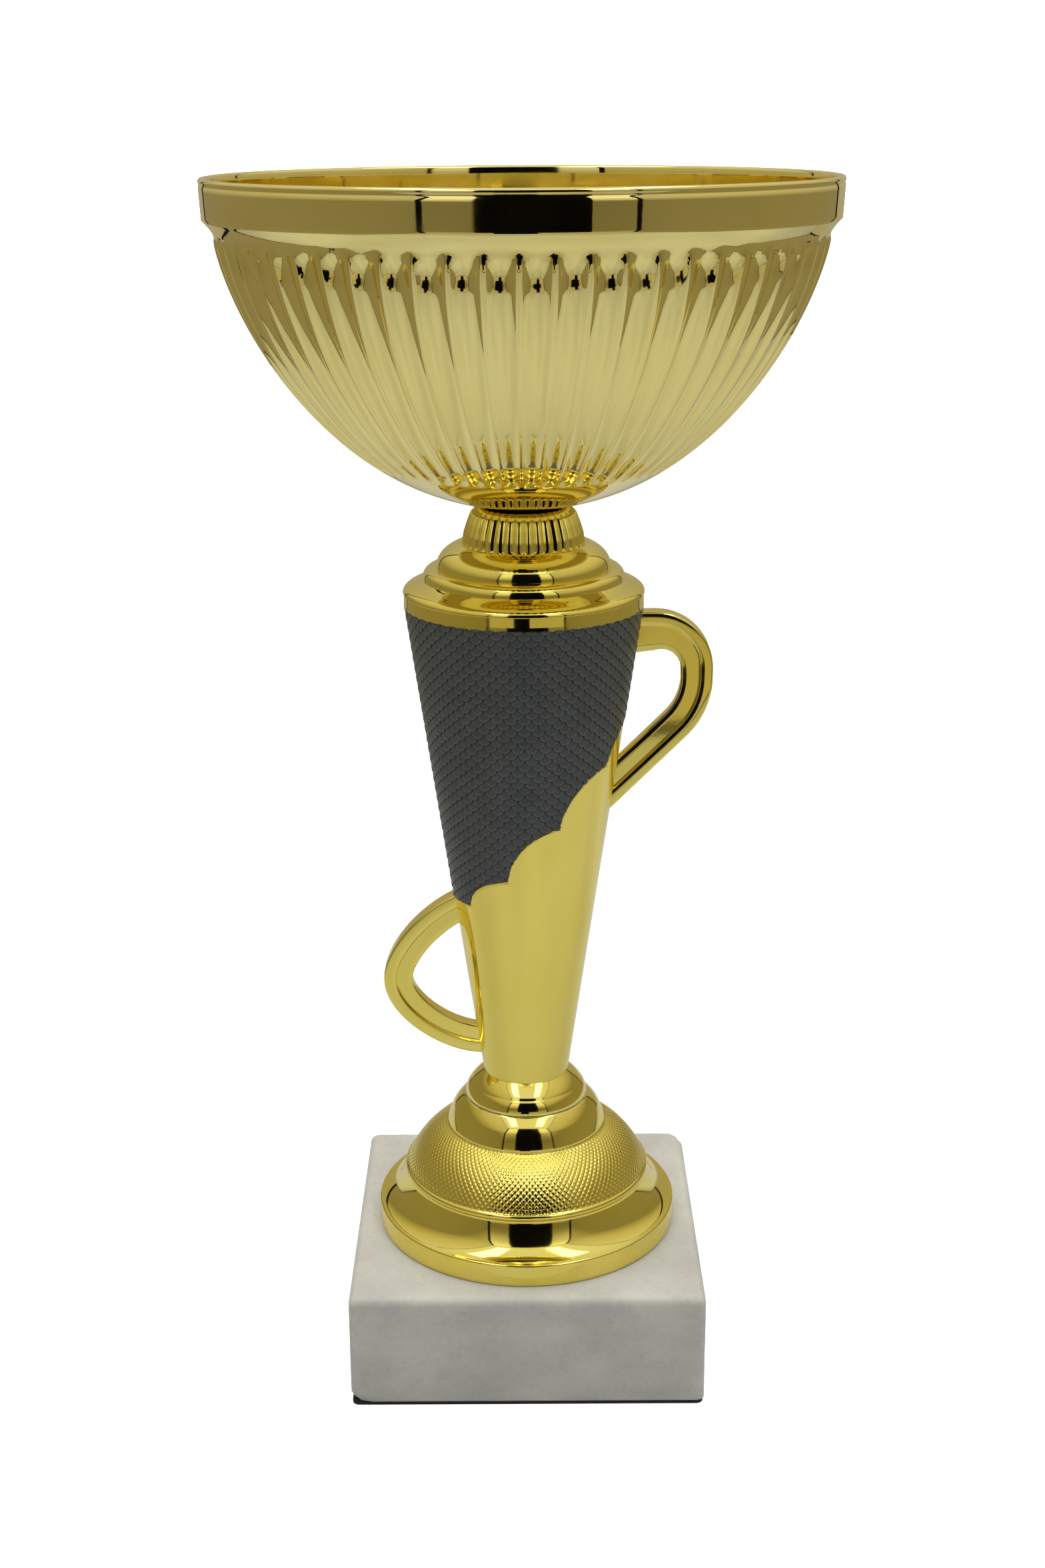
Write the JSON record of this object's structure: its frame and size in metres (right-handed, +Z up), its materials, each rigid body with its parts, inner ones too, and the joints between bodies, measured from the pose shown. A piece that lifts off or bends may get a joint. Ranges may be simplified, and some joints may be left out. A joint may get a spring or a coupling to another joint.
{
  "type": "cup trophy",
  "caption": "Cup trophy: an open fluted bowl on a tapering column with loop handles on opposite sides, on a domed riser and a square marble block.",
  "frame": {"origin": "middle of the underside of the base, on the surface the trophy stands on", "axes": "+Z up along the threaded rod and the bowl's axis; +X points to the upper handle and -X to the lower handle; the marble block's sides face X and Y"},
  "size_m": [0.099, 0.099, 0.1998],
  "materials": {
    "gold_plate": "polished",
    "gold_plastic": "polished",
    "dark_coat": "satin",
    "marble": "satin",
    "steel": "satin",
    "felt_pad": "matte"
  },
  "bodies": {
    "root": {"base_pad": "felt_pad", "marble_base": "marble", "bottom_washer": "steel", "bottom_nut": "steel", "threaded_rod": "steel", "base_flange": "gold_plastic", "stem_collar": "gold_plastic", "column": "gold_plastic", "column_coat": "dark_coat", "upper_handle": "gold_plastic", "lower_handle": "gold_plastic", "column_cap": "gold_plastic", "fluted_neck": "gold_plastic", "bowl": "gold_plate", "bowl_washer": "steel", "bowl_nut": "steel"}
  },
  "joints": []
}
